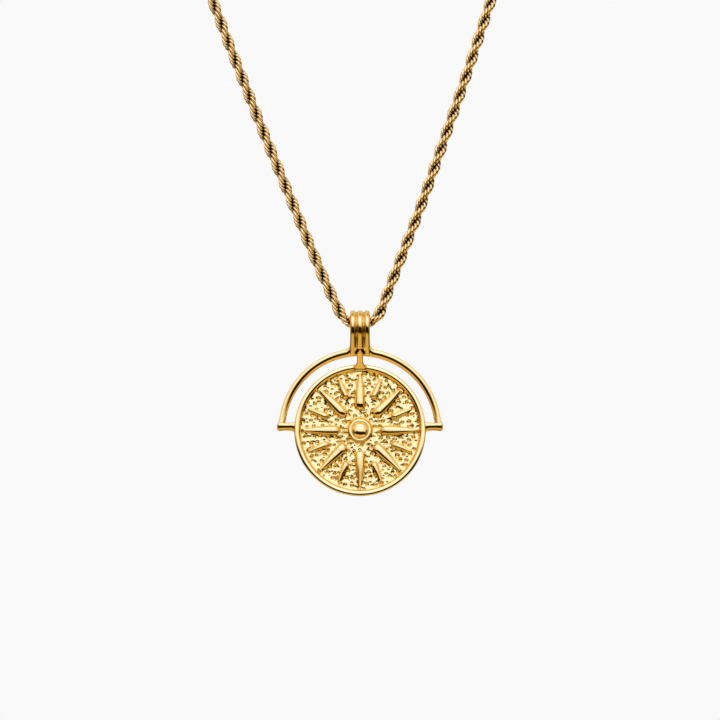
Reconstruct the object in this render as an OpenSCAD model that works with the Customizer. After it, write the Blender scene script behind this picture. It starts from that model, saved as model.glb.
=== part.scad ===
// Compass pendant on a rope chain, in the form it has round a neck.
// The origin is at the nape. The front of the pendant faces -Y and +Z is up.

/* [Medallion] */
// Diameter of the medallion over its rim
medallion_d = 22.2; // [20:0.1:25]
// Thickness of the plate, from the plain back to the field
plate_t = 1.3; // [1:0.1:1.8]
// Width of the half-round rim
rim_w = 1.2; // [0.8:0.1:1.6]
// Chamfer round the back edge
back_chamfer = 0.3; // [0.1:0.05:0.5]
// How far the back lies behind the middle of the arch
back_offset = 0.8; // [0.65:0.05:1.1]

/* [Compass rose] */
// Number of long rays, with a short ray between each two
ray_pairs = 8; // [4:1:10]
// Height of the rays above the field
ray_rise = 0.6; // [0.3:0.05:0.9]
// Distance of a long ray's blunt end from the centre
long_ray_start = 3.5; // [3:0.1:4.5]
// Width of a long ray at its foot
long_ray_w = 1.5; // [1:0.1:1.9]
// Gap between a long ray's tip and the rim
long_ray_gap = 0.45; // [0.2:0.05:1]
// Distance of a short ray's blunt end from the centre
short_ray_start = 5.75; // [5:0.05:6.5]
// Width of a short ray at its foot
short_ray_w = 1; // [0.7:0.05:1.2]
// Gap between a short ray's tip and the rim
short_ray_gap = 0.75; // [0.4:0.05:1.2]

/* [Hub] */
// Diameter of the dome in the middle
dome_d = 2.85; // [2:0.05:3.2]
// Height of the dome's top above the field
dome_rise = 1.5; // [1:0.05:1.6]
// Width of the bead round the dome
hub_bead_w = 0.38; // [0.3:0.02:0.5]
// Height of the bead's top above the field
hub_bead_rise = 0.7; // [0.4:0.05:0.9]
// Width of the sloping foot outside the bead
hub_foot_w = 0.25; // [0.1:0.05:0.5]

/* [Arch] */
// Gap between the medallion's rim and the arch
arch_gap = 1.45; // [1:0.05:2]
// Thickness of the arch's round wire
arch_wire_d = 1.24; // [1:0.02:1.6]
// Thickness of the two side pins
pin_d = 1.3; // [1.28:0.02:1.8]
// Height of the side pins above the medallion's centre
pin_rise = 0.4; // [0:0.05:1]
// How far the side pins stand out of the arch
pin_reach = 0.25; // [0.1:0.05:0.6]
// Thickness of the post at 12 o'clock
post_d = 0.95; // [0.8:0.05:1.2]
// How far the post's axis lies in front of the arch's
post_offset = 0.4; // [0.2:0.05:0.5]
// Spread of the post's conical foot on the rim
post_flare = 0.3; // [0.1:0.05:0.5]

/* [Bail] */
// Width of the bail over its three ribs
bail_w = 3.2; // [2.6:0.1:4]
// Thickness of the bail round its eye
bail_wall = 0.8; // [0.7:0.05:1.1]
// Height of the eye's centre above the top of the arch
bail_leg = 4.2; // [3.8:0.1:5]
// Depth of the bail's foot on the arch, front to back
bail_foot_d = 1.5; // [1.2:0.05:1.8]
// Width of the middle rib
rib_w = 0.86; // [0.6:0.02:1]
// Width of the two grooves beside the middle rib
groove_w = 0.5; // [0.3:0.05:0.6]
// Depth of the grooves
groove_depth = 0.3; // [0.15:0.05:0.4]
// Chamfer round both mouths of the eye
mouth_chamfer = 0.3; // [0.1:0.05:0.4]
// Radius of the fillets between the bail's foot and the arch
foot_fillet = 1.4; // [0.8:0.05:1.8]

/* [Chain] */
// Outer diameter of the rope chain
chain_d = 2; // [1.6:0.1:2.2]
// Gap between the chain and the sides of the bail's eye
eye_play = 0.45; // [0.3:0.05:0.8]
// Gap between the chain and the top of the bail's eye
hang_gap = 0.15; // [0.1:0.01:0.25]

/* [Ends and clasp] */
// Diameter of the end caps
cap_d = 2.6; // [2.2:0.1:3]
// Gap between the chain's end and its cap
cap_gap = 0.1; // [0.05:0.01:0.2]
// Outer diameter of the eyelets on the caps
eyelet_d = 3.5; // [3.3:0.1:4]
// Thickness of the eyelets' wire
eyelet_wire = 0.8; // [0.5:0.05:0.85]
// Outer diameter of the ring clasp
clasp_d = 7.2; // [6.6:0.1:8]
// Thickness of the ring clasp's wire
clasp_wire = 1.2; // [0.8:0.05:1.25]
// Gap between the clasp's wire and the eyelets under tension
link_gap = 0.12; // [0.1:0.01:0.2]

/* [Hidden] */

$fn = 64;

gold = [0.86, 0.66, 0.33];
chain_gold = [0.83, 0.62, 0.28];

// How deep solids of the one casting reach into each other, and the fillets' tails into the arch
sink = 0.2;
fillet_sink = 0.05;

// The chain's route, from its left end down to the bail and up to its right end
left_hidden = [
    [-9, 1.3, 0], [-17, 1.3, -0.2], [-25, -1, -1], [-32.5, -5.5, -3], [-39.5, -11, -6],
    [-45, -17, -9], [-49.5, -23.5, -12.5], [-53, -30, -16.5], [-56, -37, -20.5],
    [-58, -44, -24.5], [-59.5, -51, -28.5], [-60, -58.5, -33], [-60, -65.5, -37.5],
    [-59, -72.5, -42], [-58, -79.5, -47], [-56, -86, -52], [-53.5, -92, -57.5],
    [-51, -98, -63.5], [-48, -103, -69.5], [-44.5, -107.5, -76], [-41, -111.5, -82.5],
    [-37.5, -114.5, -89.5], [-34.2, -117, -97], [-31, -118.5, -104.5], [-28, -119.5, -112]
];
left_arm = [
    [-24.8, -120, -120], [-22.15, -120, -127], [-19.5, -120, -133.8], [-16.8, -120, -140.7],
    [-14.05, -120, -147.5], [-11.25, -120, -154.3], [-8.5, -120, -161], [-5.5, -120, -168],
    [-3.8, -120, -171.5], [-3.05, -120, -172.9], [-2.5, -120, -173.5], [-1.9, -120, -173.9],
    [-1.2, -120, -174]
];
bail_seat = [0, -120, -174];
right_arm = [
    [1.2, -120, -174], [1.9, -120, -173.9], [2.5, -120, -173.5], [3.05, -120, -172.9],
    [3.7, -120, -171.5], [5.05, -120, -168], [7.75, -120, -161], [10.3, -120, -154.3],
    [12.7, -120, -147.5], [15.05, -120, -140.7], [17.45, -120, -133.8], [19.7, -120, -127],
    [22, -120, -120]
];
right_hidden = [
    [24.8, -119.5, -112], [27.8, -118.5, -104], [31, -117, -96.5], [34.5, -114.5, -89.5],
    [38, -111.5, -82.5], [42, -107.5, -75.5], [45.5, -103, -69.5], [49, -98, -63.5],
    [52.5, -92.5, -58], [55, -86.5, -52.5], [57, -80, -47.5], [59, -73, -42.5],
    [59.5, -66, -38], [60, -59, -33.5], [59.5, -51.5, -29], [58, -44.5, -24.5],
    [56, -37, -20.5], [53.5, -30, -16.5], [49.5, -23.5, -12.5], [45, -17, -9],
    [39.5, -11, -6], [32.5, -5.5, -3], [25, -1, -1], [17, 1.3, -0.2], [9, 1.3, 0]
];
route = concat(left_hidden, left_arm, [bail_seat], right_arm, right_hidden);
tube_sides = 8;

// Heights of the medallion's levels above its back
medallion_r = medallion_d / 2;
field_r = medallion_r - rim_w;
dome_r = dome_d / 2;
bead_r = dome_r + hub_bead_w / 2;
hub_r = dome_r + hub_bead_w + hub_foot_w;

// The arch is half a ring round the medallion's centre
arch_r = medallion_r + arch_gap + arch_wire_d / 2;
arch_top = arch_r + arch_wire_d / 2;
arch_end = asin(pin_rise / arch_r);
pin_start = medallion_r - rim_w / 2;
pin_tip = arch_top + pin_reach;
post_start = medallion_r - rim_w / 2;
post_end = arch_top - post_d / 2 - sink;

// The bail's eye is a round arch over two straight slanted legs
eye_r = chain_d / 2 + eye_play;
bail_r = eye_r + bail_wall;
eye_z = arch_top + bail_leg;
bail_foot_z = arch_top - arch_wire_d / 4;
bail_drop = eye_z - bail_foot_z;
bail_slant = asin(bail_r / norm([bail_foot_d / 2, bail_drop])) - atan(bail_foot_d / 2 / bail_drop);
eye_floor_z = arch_top + bail_wall + sink;
groove_x = rib_w / 2 + groove_w / 2;
groove_foot_z = arch_top;
seat_z = eye_z + eye_r - hang_gap - chain_d / 2;

// The eyelets hang in the clasp, pulled outwards by the chain
chain_end_x = abs(route[0][0]);
nape_y = route[0][1];
clasp_ring_r = (clasp_d - clasp_wire) / 2;
eyelet_hole_r = eyelet_d / 2 - eyelet_wire;
eyelet_ring_r = (eyelet_d - eyelet_wire) / 2;
eyelet_x = clasp_d / 2 - clasp_wire - link_gap + eyelet_hole_r;
cap_start_x = eyelet_x + eyelet_d / 2 - eyelet_wire / 2;
cap_end_x = chain_end_x - cap_gap;

function unit(v) = v / norm(v);
function heading(i) = unit(route[min(i + 1, len(route) - 1)] - route[max(i - 1, 0)]);
function sideways(i) = unit(cross(heading(i), [0, 1, 0]));
function ring_point(i, k) =
    let (a = 360 * k / tube_sides, s = sideways(i), u = cross(s, heading(i)))
    route[i] + chain_d / 2 * (cos(a) * s + sin(a) * u);

// Draws what is built upwards on z = 0 on the plane of the medallion's back, facing forwards
module facing_front() {
    translate([0, back_offset, 0]) rotate([90, 0, 0]) children();
}

module medallion_plate() {
    rotate_extrude() {
        polygon([
            [0, 0], [medallion_r - back_chamfer, 0], [medallion_r, back_chamfer],
            [medallion_r, plate_t], [0, plate_t]
        ]);
        translate([medallion_r - rim_w / 2, plate_t]) circle(d = rim_w);
    }
}

// A ray along +Y: blunt inner end, widest in its inner third, pointed tip and a low ridge
module ray(start, tip, w) {
    length = tip - start;
    outline = [
        [-0.28 * w, start], [0.28 * w, start], [0.5 * w, start + 0.25 * length],
        [0.42 * w, start + 0.6 * length], [0.05 * w, tip],
        [-0.05 * w, tip], [-0.42 * w, start + 0.6 * length], [-0.5 * w, start + 0.25 * length]
    ];
    section = [
        [-w / 2, -sink], [w / 2, -sink], [w / 2, 0], [0.28 * w, 0.8 * ray_rise],
        [0, ray_rise], [-0.28 * w, 0.8 * ray_rise], [-w / 2, 0]
    ];
    intersection() {
        translate([0, 0, -sink]) linear_extrude(height = ray_rise + 2 * sink) polygon(outline);
        translate([0, tip, 0]) rotate([90, 0, 0]) linear_extrude(height = length) polygon(section);
    }
}

module compass_rose() {
    step = 360 / ray_pairs;
    for (k = [0 : ray_pairs - 1]) {
        rotate([0, 0, k * step]) ray(long_ray_start, field_r - long_ray_gap, long_ray_w);
        rotate([0, 0, (k + 0.5) * step]) ray(short_ray_start, field_r - short_ray_gap, short_ray_w);
    }
}

module hub() {
    bead_centre = hub_bead_rise - hub_bead_w / 2;
    rotate_extrude() {
        polygon([
            [0, -sink], [hub_r, -sink], [hub_r, 0], [bead_r + hub_bead_w / 2, bead_centre],
            [0, bead_centre]
        ]);
        translate([bead_r, bead_centre]) circle(d = hub_bead_w);
        intersection() {
            translate([0, dome_rise - dome_r]) circle(r = dome_r);
            square([dome_r, dome_rise]);
        }
    }
}

module medallion() {
    facing_front() {
        medallion_plate();
        translate([0, 0, plate_t]) compass_rose();
        translate([0, 0, plate_t]) hub();
    }
}

module arch() {
    rotate([90, 0, 0]) rotate([0, 0, arch_end])
        rotate_extrude(angle = 180 - 2 * arch_end)
        translate([arch_r, 0]) circle(d = arch_wire_d);
}

// A pin along +X from the rim through the arch's end, with a chamfered tip
module side_pin() {
    tip_chamfer = 0.6 * pin_reach;
    translate([pin_start, 0, pin_rise]) rotate([0, 90, 0]) {
        cylinder(d = pin_d, h = pin_tip - pin_start - tip_chamfer);
        translate([0, 0, pin_tip - pin_start - tip_chamfer])
            cylinder(d1 = pin_d, d2 = pin_d - 2 * tip_chamfer, h = tip_chamfer);
    }
}

// The post crosses the arch's front and ends in a round head at the bail's foot
module post() {
    translate([0, -post_offset, 0]) {
        translate([0, 0, post_start]) cylinder(d = post_d, h = post_end - post_start);
        translate([0, 0, post_end]) sphere(d = post_d);
        translate([0, 0, post_start])
            cylinder(d1 = post_d + 2 * post_flare, d2 = post_d, h = rim_w / 2 + post_flare);
    }
}

// The bail's side view, drawn in from its outer outline by inset, down to floor_z
module bail_outline(inset, floor_z) {
    r = bail_r - inset;
    drop = eye_z - floor_z;
    foot = r * cos(bail_slant) - (drop - r * sin(bail_slant)) * tan(bail_slant);
    translate([0, eye_z]) {
        circle(r = r);
        polygon([
            [-r * cos(bail_slant), -r * sin(bail_slant)], [-foot, -drop], [foot, -drop],
            [r * cos(bail_slant), -r * sin(bail_slant)]
        ]);
    }
}

// Extrudes a side view, drawn in Y and Z, to a width centred on x
module along_x(width, x = 0) {
    translate([x - width / 2, 0, 0]) rotate([90, 0, 90]) linear_extrude(height = width) children();
}

module bail_grooves() {
    for (x = [-groove_x, groove_x]) {
        along_x(groove_w, x) difference() {
            translate([-2 * bail_r, groove_foot_z]) square([4 * bail_r, 2 * bail_leg + 2 * bail_r]);
            bail_outline(groove_depth, arch_r);
        }
    }
}

module eye_mouths() {
    for (side = [-1, 1]) {
        translate([side * bail_w / 2, 0, eye_z]) rotate([0, -90 * side, 0])
            translate([0, 0, -mouth_chamfer])
            cylinder(r1 = eye_r + 2 * mouth_chamfer, r2 = eye_r, h = 2 * mouth_chamfer);
    }
}

// Fillets that run out on the arch's outer edge, a little inside it
module foot_fillets() {
    depth = 0.8 * arch_wire_d;
    edge_r = arch_top - fillet_sink;
    centre_x = bail_w / 2 + foot_fillet;
    centre_z = sqrt(pow(edge_r + foot_fillet, 2) - pow(centre_x, 2));
    tail_x = centre_x * edge_r / (edge_r + foot_fillet);
    inner_x = bail_w / 2 - sink;
    for (side = [0, 1]) {
        mirror([side, 0, 0]) translate([0, depth / 2, 0]) rotate([90, 0, 0])
            linear_extrude(height = depth) difference() {
                translate([inner_x, arch_r]) square([tail_x - inner_x, centre_z - arch_r]);
                translate([centre_x, centre_z]) circle(r = foot_fillet);
            }
    }
}

module bail() {
    difference() {
        along_x(bail_w) bail_outline(0, bail_foot_z);
        along_x(bail_w + 2 * sink) bail_outline(bail_wall, eye_floor_z);
        eye_mouths();
        bail_grooves();
    }
    foot_fillets();
}

module pendant() {
    color(gold) translate(bail_seat - [0, 0, seat_z]) {
        medallion();
        arch();
        side_pin();
        mirror([1, 0, 0]) side_pin();
        post();
        bail();
    }
}

module rope_chain() {
    rings = len(route);
    points = [for (i = [0 : rings - 1]) for (k = [0 : tube_sides - 1]) ring_point(i, k)];
    walls = [
        for (i = [0 : rings - 2]) for (k = [0 : tube_sides - 1])
            let (a = i * tube_sides + k, b = i * tube_sides + (k + 1) % tube_sides)
            each [[a, b, b + tube_sides], [a, b + tube_sides, a + tube_sides]]
    ];
    start_face = [for (k = [0 : tube_sides - 1]) tube_sides - 1 - k];
    end_face = [for (k = [0 : tube_sides - 1]) (rings - 1) * tube_sides + k];
    color(chain_gold) polyhedron(points = points, faces = concat([start_face], walls, [end_face]));
}

// The right-hand cap: an eyelet in the clasp and a plain barrel towards the chain
module cap() {
    translate([0, nape_y, 0]) {
        translate([eyelet_x, 0, 0]) rotate_extrude() translate([eyelet_ring_r, 0]) circle(d = eyelet_wire);
        translate([cap_start_x, 0, 0]) rotate([0, 90, 0]) cylinder(d = cap_d, h = cap_end_x - cap_start_x);
    }
}

module cap_right() {
    color(gold) cap();
}

module cap_left() {
    color(gold) mirror([1, 0, 0]) cap();
}

module clasp() {
    color(gold) translate([0, nape_y, 0]) rotate([90, 0, 0])
        rotate_extrude() translate([clasp_ring_r, 0]) circle(d = clasp_wire);
}

pendant();
rope_chain();
cap_left();
cap_right();
clasp();
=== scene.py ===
import math

import bpy
import numpy as np
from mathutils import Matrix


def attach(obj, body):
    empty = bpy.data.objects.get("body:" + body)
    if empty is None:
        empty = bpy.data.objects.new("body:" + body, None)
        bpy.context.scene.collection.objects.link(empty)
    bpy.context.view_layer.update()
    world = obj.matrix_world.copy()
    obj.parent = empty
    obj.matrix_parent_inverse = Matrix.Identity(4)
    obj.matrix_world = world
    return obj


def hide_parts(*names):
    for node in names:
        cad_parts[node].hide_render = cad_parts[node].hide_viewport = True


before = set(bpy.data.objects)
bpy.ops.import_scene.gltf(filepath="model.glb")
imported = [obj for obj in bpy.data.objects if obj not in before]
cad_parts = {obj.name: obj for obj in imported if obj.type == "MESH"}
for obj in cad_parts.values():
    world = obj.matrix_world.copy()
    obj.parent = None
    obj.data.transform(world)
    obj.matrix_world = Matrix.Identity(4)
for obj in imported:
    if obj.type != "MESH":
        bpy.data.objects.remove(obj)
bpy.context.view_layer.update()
metresPerMm = 0.001
discCentre = np.array([0.0, -120.0, -192.29])  # middle of the medallion, on the arch's plane

# Camera: straight on at the pendant, as high as the middle of the picture
photoView = {
    "pixelsPerMm": 5.92,  # on the pendant's plane
    "pictureWidth": 720,
    "discPixel": (360.0, 430.2),  # where the medallion's middle lies in the picture
    "distance": 600.0,
    "sensor": 36.0,
    "nearest": 0.01,  # metres: nothing closer is drawn
}


def placeCamera(view):
    # The picture's middle lies beside the disc's middle by its offset in pixels over the scale
    half = view["pictureWidth"] / 2
    right = (half - view["discPixel"][0]) / view["pixelsPerMm"]
    up = (view["discPixel"][1] - half) / view["pixelsPerMm"]
    camera = bpy.data.cameras.new("photoCamera")
    camera.sensor_width = view["sensor"]
    seenWidth = view["pictureWidth"] / view["pixelsPerMm"]
    camera.lens = view["sensor"] * view["distance"] / seenWidth
    camera.clip_start = view["nearest"]
    holder = bpy.data.objects.new("photoCamera", camera)
    bpy.context.scene.collection.objects.link(holder)
    spot = discCentre + np.array([right, -view["distance"], up])
    holder.location = (spot * metresPerMm).tolist()
    holder.rotation_euler = (math.radians(90), 0, 0)
    bpy.context.scene.camera = holder


placeCamera(photoView)
bpy.context.scene.view_settings.view_transform = "Standard"
print("camera placed")

# Studio: light that changes with the height above the horizon, with tints at the sides and behind
studio = {
    "steps": [  # degrees above the horizon, red, green, blue
        (-90, 0.50, 0.36, 0.10),
        (-62, 0.74, 0.56, 0.20),
        (-50, 0.98, 0.74, 0.30),
        (-40, 0.72, 0.54, 0.20),
        (-34, 0.34, 0.22, 0.06),
        (-31, 0.015, 0.010, 0.006),
        (-13, 0.015, 0.010, 0.006),
        (-10, 0.40, 0.27, 0.08),
        (-7, 0.95, 0.92, 0.85),
        (-2, 1.08, 1.26, 1.68),
        (14, 1.12, 1.34, 1.90),
        (32, 1.35, 1.62, 2.50),
        (58, 1.20, 1.32, 1.90),
        (74, 0.74, 0.62, 0.40),
        (90, 0.45, 0.35, 0.20),
    ],
    "lean": 0.07,  # how much the steps sink from left to right
    "wave": 0.02,  # how much they swing up and down on the way
    "waveSize": 7.0,
    "tints": [  # from, to, share and colour: at the sides, at the far sides below the horizon, and behind
        (0.34, 0.62, 0.82, (0.90, 0.66, 0.28)),
        (0.68, 0.86, 0.82, (0.08, 0.045, 0.015)),
        (0.1, 0.8, 0.7, (0.66, 0.52, 0.34)),
    ],
    "sideRound": 0.40,  # how much of the height counts with the distance sideways
    "lowSideShare": 0.5,  # how much of that distance counts low below the horizon
    "lowSideFall": 3.0,  # how fast it gets less there
    "edgeFade": 2.0,  # how fast the dark tint fades above the horizon
    "backdrop": 0.946,  # brightness of the background and the floor
    "floorHeight": -260.0,
    "floorRadius": 6000.0,
    "floorSides": 96,
}


def feed(tree, node, inputs):
    # Each named or numbered input is linked from a socket or gets a plain value
    for place, value in inputs.items():
        if isinstance(value, bpy.types.NodeSocket):
            tree.links.new(value, node.inputs[place])
        else:
            node.inputs[place].default_value = value


def addNode(tree, kind, inputs):
    node = tree.nodes.new("ShaderNode" + kind)
    feed(tree, node, inputs)
    return node


def mathNode(tree, operation, *values, clamp=False):
    node = tree.nodes.new("ShaderNodeMath")
    node.operation = operation
    node.use_clamp = clamp
    feed(tree, node, dict(enumerate(values)))
    return node.outputs[0]


def mixNode(tree, share, first, second):
    # The first colour at share 0, the second at share 1
    node = tree.nodes.new("ShaderNodeMix")
    node.data_type = "RGBA"
    feed(tree, node, {0: share, 6: first, 7: second})
    return node.outputs[2]


def makeWorld(look):
    # A direction (x, y, z) takes the step at the height z + lean x + wave (cos(waveSize x) - 1). Then
    # three tints set in, each between its two limits: one with root(x^2 + (sideRound z)^2), less so low
    # below the horizon, a dark one with |x|, which fades above the horizon, and one with y, behind
    world = bpy.data.worlds.new("studio")
    bpy.context.scene.world = world
    world.use_nodes = True
    tree = world.node_tree
    tree.nodes.clear()
    place = addNode(tree, "TexCoord", {})
    x, y, z = addNode(tree, "SeparateXYZ", {0: place.outputs["Generated"]}).outputs
    leaning = mathNode(tree, "MULTIPLY_ADD", x, look["lean"], z)
    cosine = mathNode(tree, "COSINE", mathNode(tree, "MULTIPLY", x, look["waveSize"]))
    waving = mathNode(tree, "MULTIPLY_ADD", mathNode(tree, "SUBTRACT", cosine, 1.0), look["wave"], leaning)
    ramp = addNode(tree, "ValToRGB", {"Fac": mathNode(tree, "MULTIPLY_ADD", waving, 0.5, 0.5)})
    stops = ramp.color_ramp.elements
    stops[0].position = 0
    stops[0].color = look["steps"][0][1:] + (1,)
    stops[1].position = 1
    stops[1].color = look["steps"][-1][1:] + (1,)
    for degrees, red, green, blue in look["steps"][1:-1]:
        stop = stops.new((math.sin(math.radians(degrees)) + 1) / 2)
        stop.color = (red, green, blue, 1)
    colour = ramp.outputs["Color"]
    raised = mathNode(tree, "MULTIPLY", z, look["sideRound"])
    squares = mathNode(tree, "ADD", mathNode(tree, "POWER", x, 2.0), mathNode(tree, "POWER", raised, 2.0))
    level = mathNode(tree, "MULTIPLY_ADD", z, look["lowSideFall"], 1.0, clamp=True)
    low = look["lowSideShare"]
    counting = mathNode(tree, "MULTIPLY_ADD", level, 1 - low, low)
    around = mathNode(tree, "MULTIPLY", mathNode(tree, "SQRT", squares), counting)
    below = mathNode(tree, "MULTIPLY_ADD", z, -look["edgeFade"], 1.0, clamp=True)
    aside = mathNode(tree, "MULTIPLY", mathNode(tree, "ABSOLUTE", x), below)
    for along, (start, end, share, tint) in zip([around, aside, y], look["tints"]):
        reach = addNode(tree, "MapRange", {
            "Value": along, "From Min": start, "From Max": end, "To Max": share,
        })
        reach.interpolation_type = "SMOOTHSTEP"
        colour = mixNode(tree, reach.outputs["Result"], colour, tint + (1,))
    lit = addNode(tree, "Background", {"Color": colour}).outputs[0]
    seen = addNode(tree, "Background", {"Color": (look["backdrop"],) * 3 + (1,)}).outputs[0]
    ray = addNode(tree, "LightPath", {})
    choose = addNode(tree, "MixShader", {0: ray.outputs["Is Camera Ray"], 1: lit, 2: seen})
    addNode(tree, "OutputWorld", {"Surface": choose.outputs[0]})


def roundAngles(count):
    return np.linspace(0, 2 * np.pi, count, endpoint=False)


def makeFloor(look):
    # A round floor, of points at equal angles on one circle
    sides = look["floorSides"]
    angles = roundAngles(sides)
    rim = np.stack([np.cos(angles), np.sin(angles), 0 * angles], 1) * look["floorRadius"]
    rim[:, 2] = look["floorHeight"]
    mesh = bpy.data.meshes.new("floor")
    mesh.from_pydata((rim * metresPerMm).tolist(), [], [list(range(sides))])
    floor = bpy.data.objects.new("floor", mesh)
    bpy.context.scene.collection.objects.link(floor)
    paint = bpy.data.materials.new("paleFloor")
    paint.use_nodes = True
    feed(paint.node_tree, paint.node_tree.nodes["Principled BSDF"], {
        "Base Color": (0, 0, 0, 1),
        "Roughness": 1,
        "Specular IOR Level": 0,
        "Emission Color": (1, 1, 1, 1),
        "Emission Strength": look["backdrop"],
    })
    mesh.materials.append(paint)
    floor.visible_glossy = False
    floor.visible_diffuse = False
    floor.visible_shadow = False


makeWorld(studio)
makeFloor(studio)
print("studio made")


# Mesh helpers

def gridFaces(rows, cols, closeRows=False):
    # Quads between neighbours of a grid whose columns run round: (i, j), (i+1, j), (i+1, j+1), (i, j+1)
    last = rows if closeRows else rows - 1
    i, j = [part.ravel() for part in np.meshgrid(np.arange(last), np.arange(cols), indexing="ij")]
    down = (i + 1) % rows
    right = (j + 1) % cols
    return np.stack([i * cols + j, down * cols + j, down * cols + right, i * cols + right], 1)


def outward(points, faces):
    # The sum of each face's corner times its normal is positive where the faces point outwards
    a, b, c, d = [points[faces[:, k]] for k in range(4)]
    volume = np.einsum("ij,ij->", a, np.cross(b, c)) + np.einsum("ij,ij->", a, np.cross(c, d))
    return faces if volume > 0 else faces[:, ::-1]


def closedShell(grid, closeRows=False):
    # A grid of rows that each run round, closed with a point at the middle of its first and last row
    rows, cols, _ = grid.shape
    points = grid.reshape(-1, 3)
    faces = gridFaces(rows, cols, closeRows)
    if not closeRows:
        points = np.concatenate([points, [grid[0].mean(0), grid[-1].mean(0)]])
        j = np.arange(cols)
        right = (j + 1) % cols
        firstPole = rows * cols + 0 * j
        lastPole = firstPole + 1
        base = (rows - 1) * cols
        head = np.stack([firstPole, j, right, right], 1)
        tail = np.stack([base + j, lastPole, base + right, base + right], 1)
        faces = np.concatenate([faces, head, tail])
    return points, outward(points, faces)


def joinShells(shells):
    # One mesh of several, whose corners count on from the points before
    points = []
    faces = []
    count = 0
    for shellPoints, shellFaces in shells:
        points.append(shellPoints)
        faces.append(shellFaces + count)
        count += len(shellPoints)
    return np.concatenate(points), np.concatenate(faces)


def toFrame(local):
    # Right, up and front of the disc's middle become +X, +Z and -Y
    turned = np.stack([local[:, 0], -local[:, 2], local[:, 1]], 1)
    return turned + discCentre


pendantRow = ("pendant", "pendant_gold", ["pendant"])  # body, slot and the nodes that a piece replaces


def makePiece(name, points, faces, material, body, slotName, nodes):
    # Faces are rows of four corners; a triangle repeats its last
    triangles = faces[:, 2] == faces[:, 3]
    corners = np.where(triangles, 3, 4)
    keep = np.ones(faces.shape, bool)
    keep[triangles, 3] = False
    loops = faces[keep]
    mesh = bpy.data.meshes.new(name)
    mesh.vertices.add(len(points))
    mesh.vertices.foreach_set("co", (points * metresPerMm).astype(np.float32).ravel())
    mesh.loops.add(len(loops))
    mesh.loops.foreach_set("vertex_index", loops.astype(np.int32))
    mesh.polygons.add(len(faces))
    starts = np.concatenate([[0], np.cumsum(corners)[:-1]])
    mesh.polygons.foreach_set("loop_start", starts.astype(np.int32))
    mesh.update(calc_edges=True)
    mesh.validate()
    mesh.shade_smooth()
    mesh.materials.append(material)
    piece = bpy.data.objects.new(name, mesh)
    bpy.context.scene.collection.objects.link(piece)
    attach(piece, body)
    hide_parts(*nodes)
    print("made", name, len(faces), "faces")
    return piece


def markPaintedShade(piece, values):
    # How much painted shade each point gets: darker gold in pits, creases, grooves and the rope's core;
    # points past the values stay at 0
    depth = piece.data.attributes.new("depth", "FLOAT", "POINT")
    full = np.zeros(len(piece.data.vertices), np.float32)
    full[: len(values)] = values
    depth.data.foreach_set("value", full)


def unit(x):
    # Held between 0 and 1
    return np.clip(x, 0, 1)


def quarterRound(t):
    # Rises from 0 to 1 like a quarter of a circle: the root of 1 - (1 - t)^2
    return np.sqrt(1 - (1 - t) ** 2)


def ease(t):
    # A smooth step from 0 to 1: t squared times (3 - 2t)
    t = unit(t)
    return t * t * (3 - 2 * t)


def curveThrough(xs, ys, at):
    # A smooth curve through points: each span eases between its ends with the slopes of its neighbours
    xs = np.asarray(xs, float)
    ys = np.asarray(ys, float)
    slopes = np.gradient(ys, xs)
    k = np.clip(np.searchsorted(xs, at, side="right") - 1, 0, len(xs) - 2)
    h = xs[k + 1] - xs[k]
    t = (at - xs[k]) / h
    a = ys[k] * (1 + 2 * t) * (1 - t) ** 2 + ys[k + 1] * t * t * (3 - 2 * t)
    b = h * (slopes[k] * t * (1 - t) ** 2 + slopes[k + 1] * t * t * (t - 1))
    return a + b


edgeSteps = 600  # how finely the turning of a profile is added up


def turnedEdge(turns, count):
    # From a crest outwards the surface turns down by these degrees at these shares of its length. The
    # angle's cosines and sines are added up and scaled to end at 1; the last value is the sums' ratio
    share = np.linspace(0, 1, edgeSteps + 1)
    angle = np.radians(np.interp(share, *zip(*turns)))
    out = np.concatenate([[0], np.cumsum(np.cos(angle[1:]))])
    drop = np.concatenate([[0], np.cumsum(np.sin(angle[1:]))])
    pick = np.linspace(0, edgeSteps, count).astype(int)
    return out[pick] / out[-1], drop[pick] / drop[-1], drop[-1] / out[-1]


# Gold

def addSockets(group, way, kinds):
    for name, kind in kinds.items():
        group.interface.new_socket(name, in_out=way, socket_type="NodeSocket" + kind)


goldGrain = {
    "driftDetail": 3,
    "driftFrom": 0.3,
    "driftTo": 0.7,
    "driftShare": 0.12,  # how far the drift alone goes towards the deep tone
    "scratchScale": 9000,
    "scratchDetail": 2,
    "scratchHeight": 0.00002,
    "grazingTint": (1.0, 0.80, 0.50),
}


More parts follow.
